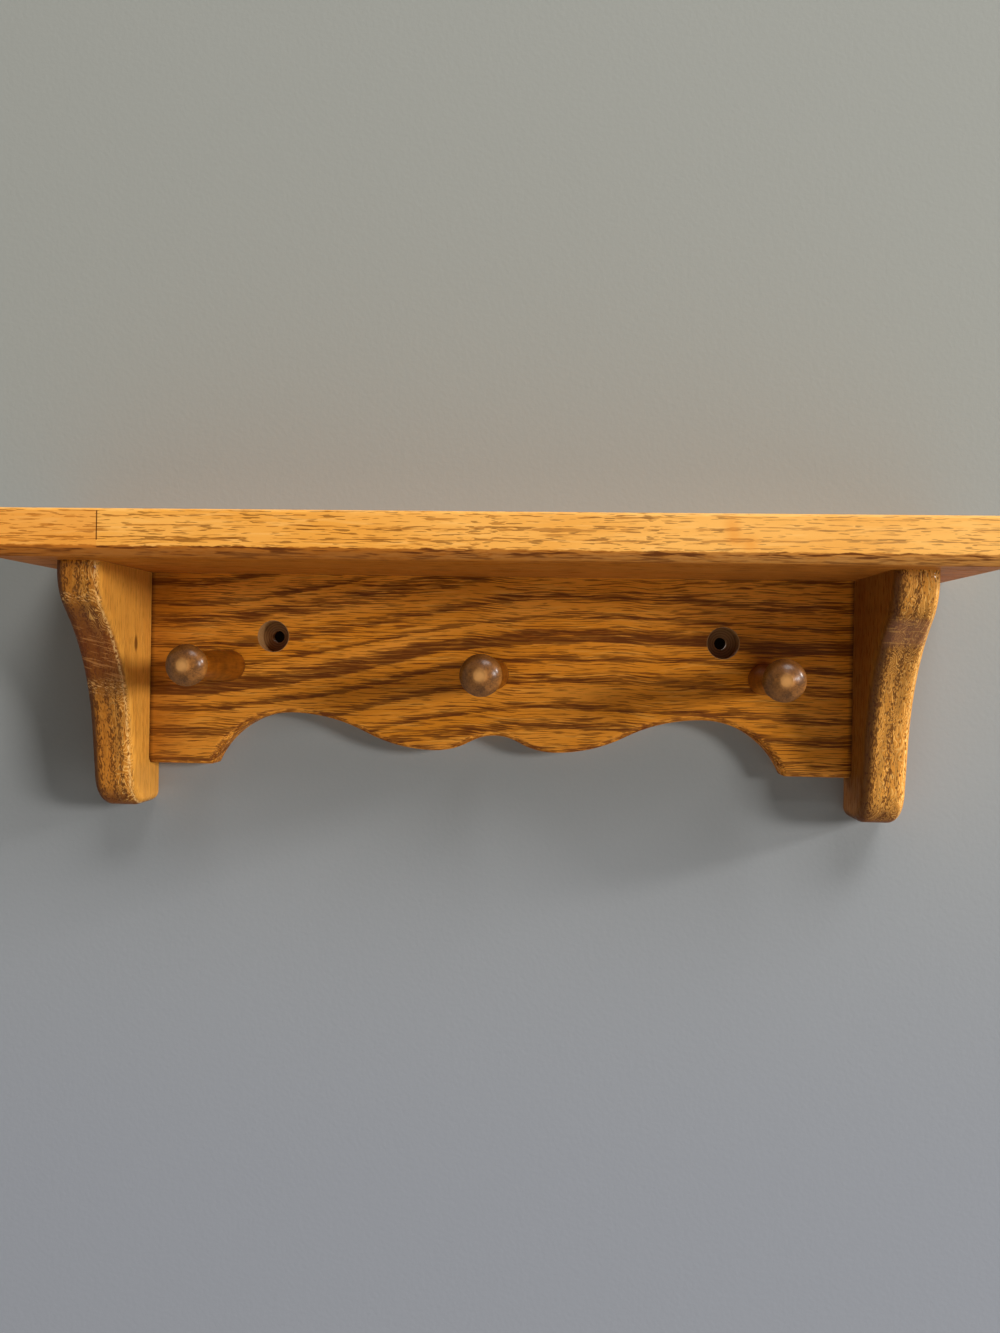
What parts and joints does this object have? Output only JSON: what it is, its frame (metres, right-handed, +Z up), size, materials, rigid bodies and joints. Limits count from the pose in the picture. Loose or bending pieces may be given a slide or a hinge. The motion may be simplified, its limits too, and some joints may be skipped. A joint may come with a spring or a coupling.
{
  "type": "shaker peg rail with shelf",
  "caption": "Wall-hung oak shelf on ogee brackets, over a scalloped back board that carries turned pegs and has counterbored screw holes.",
  "frame": {"origin": "on the wall plane, midway between the two screw holes of the back board", "axes": "+X to the right along the shelf as seen from the room, +Y towards the wall, +Z up"},
  "size_m": [0.4064, 0.0889, 0.126],
  "materials": {
    "shelf_oak": "honey-stained red oak under semi-gloss lacquer",
    "board_oak": "honey-stained red oak under semi-gloss lacquer",
    "bracket_oak": "honey-stained red oak under semi-gloss lacquer",
    "peg_wood": "stained turned hardwood under gloss lacquer",
    "tenon_wood": "bare hardwood"
  },
  "bodies": {
    "root": {"shelf_board": "shelf_oak", "back_board": "board_oak", "left_bracket": "bracket_oak", "right_bracket": "bracket_oak", "left_peg": "peg_wood", "centre_peg": "peg_wood", "right_peg": "peg_wood", "left_shelf_tenon": "tenon_wood", "left_board_tenon": "tenon_wood", "right_shelf_tenon": "tenon_wood", "right_board_tenon": "tenon_wood"}
  },
  "joints": []
}
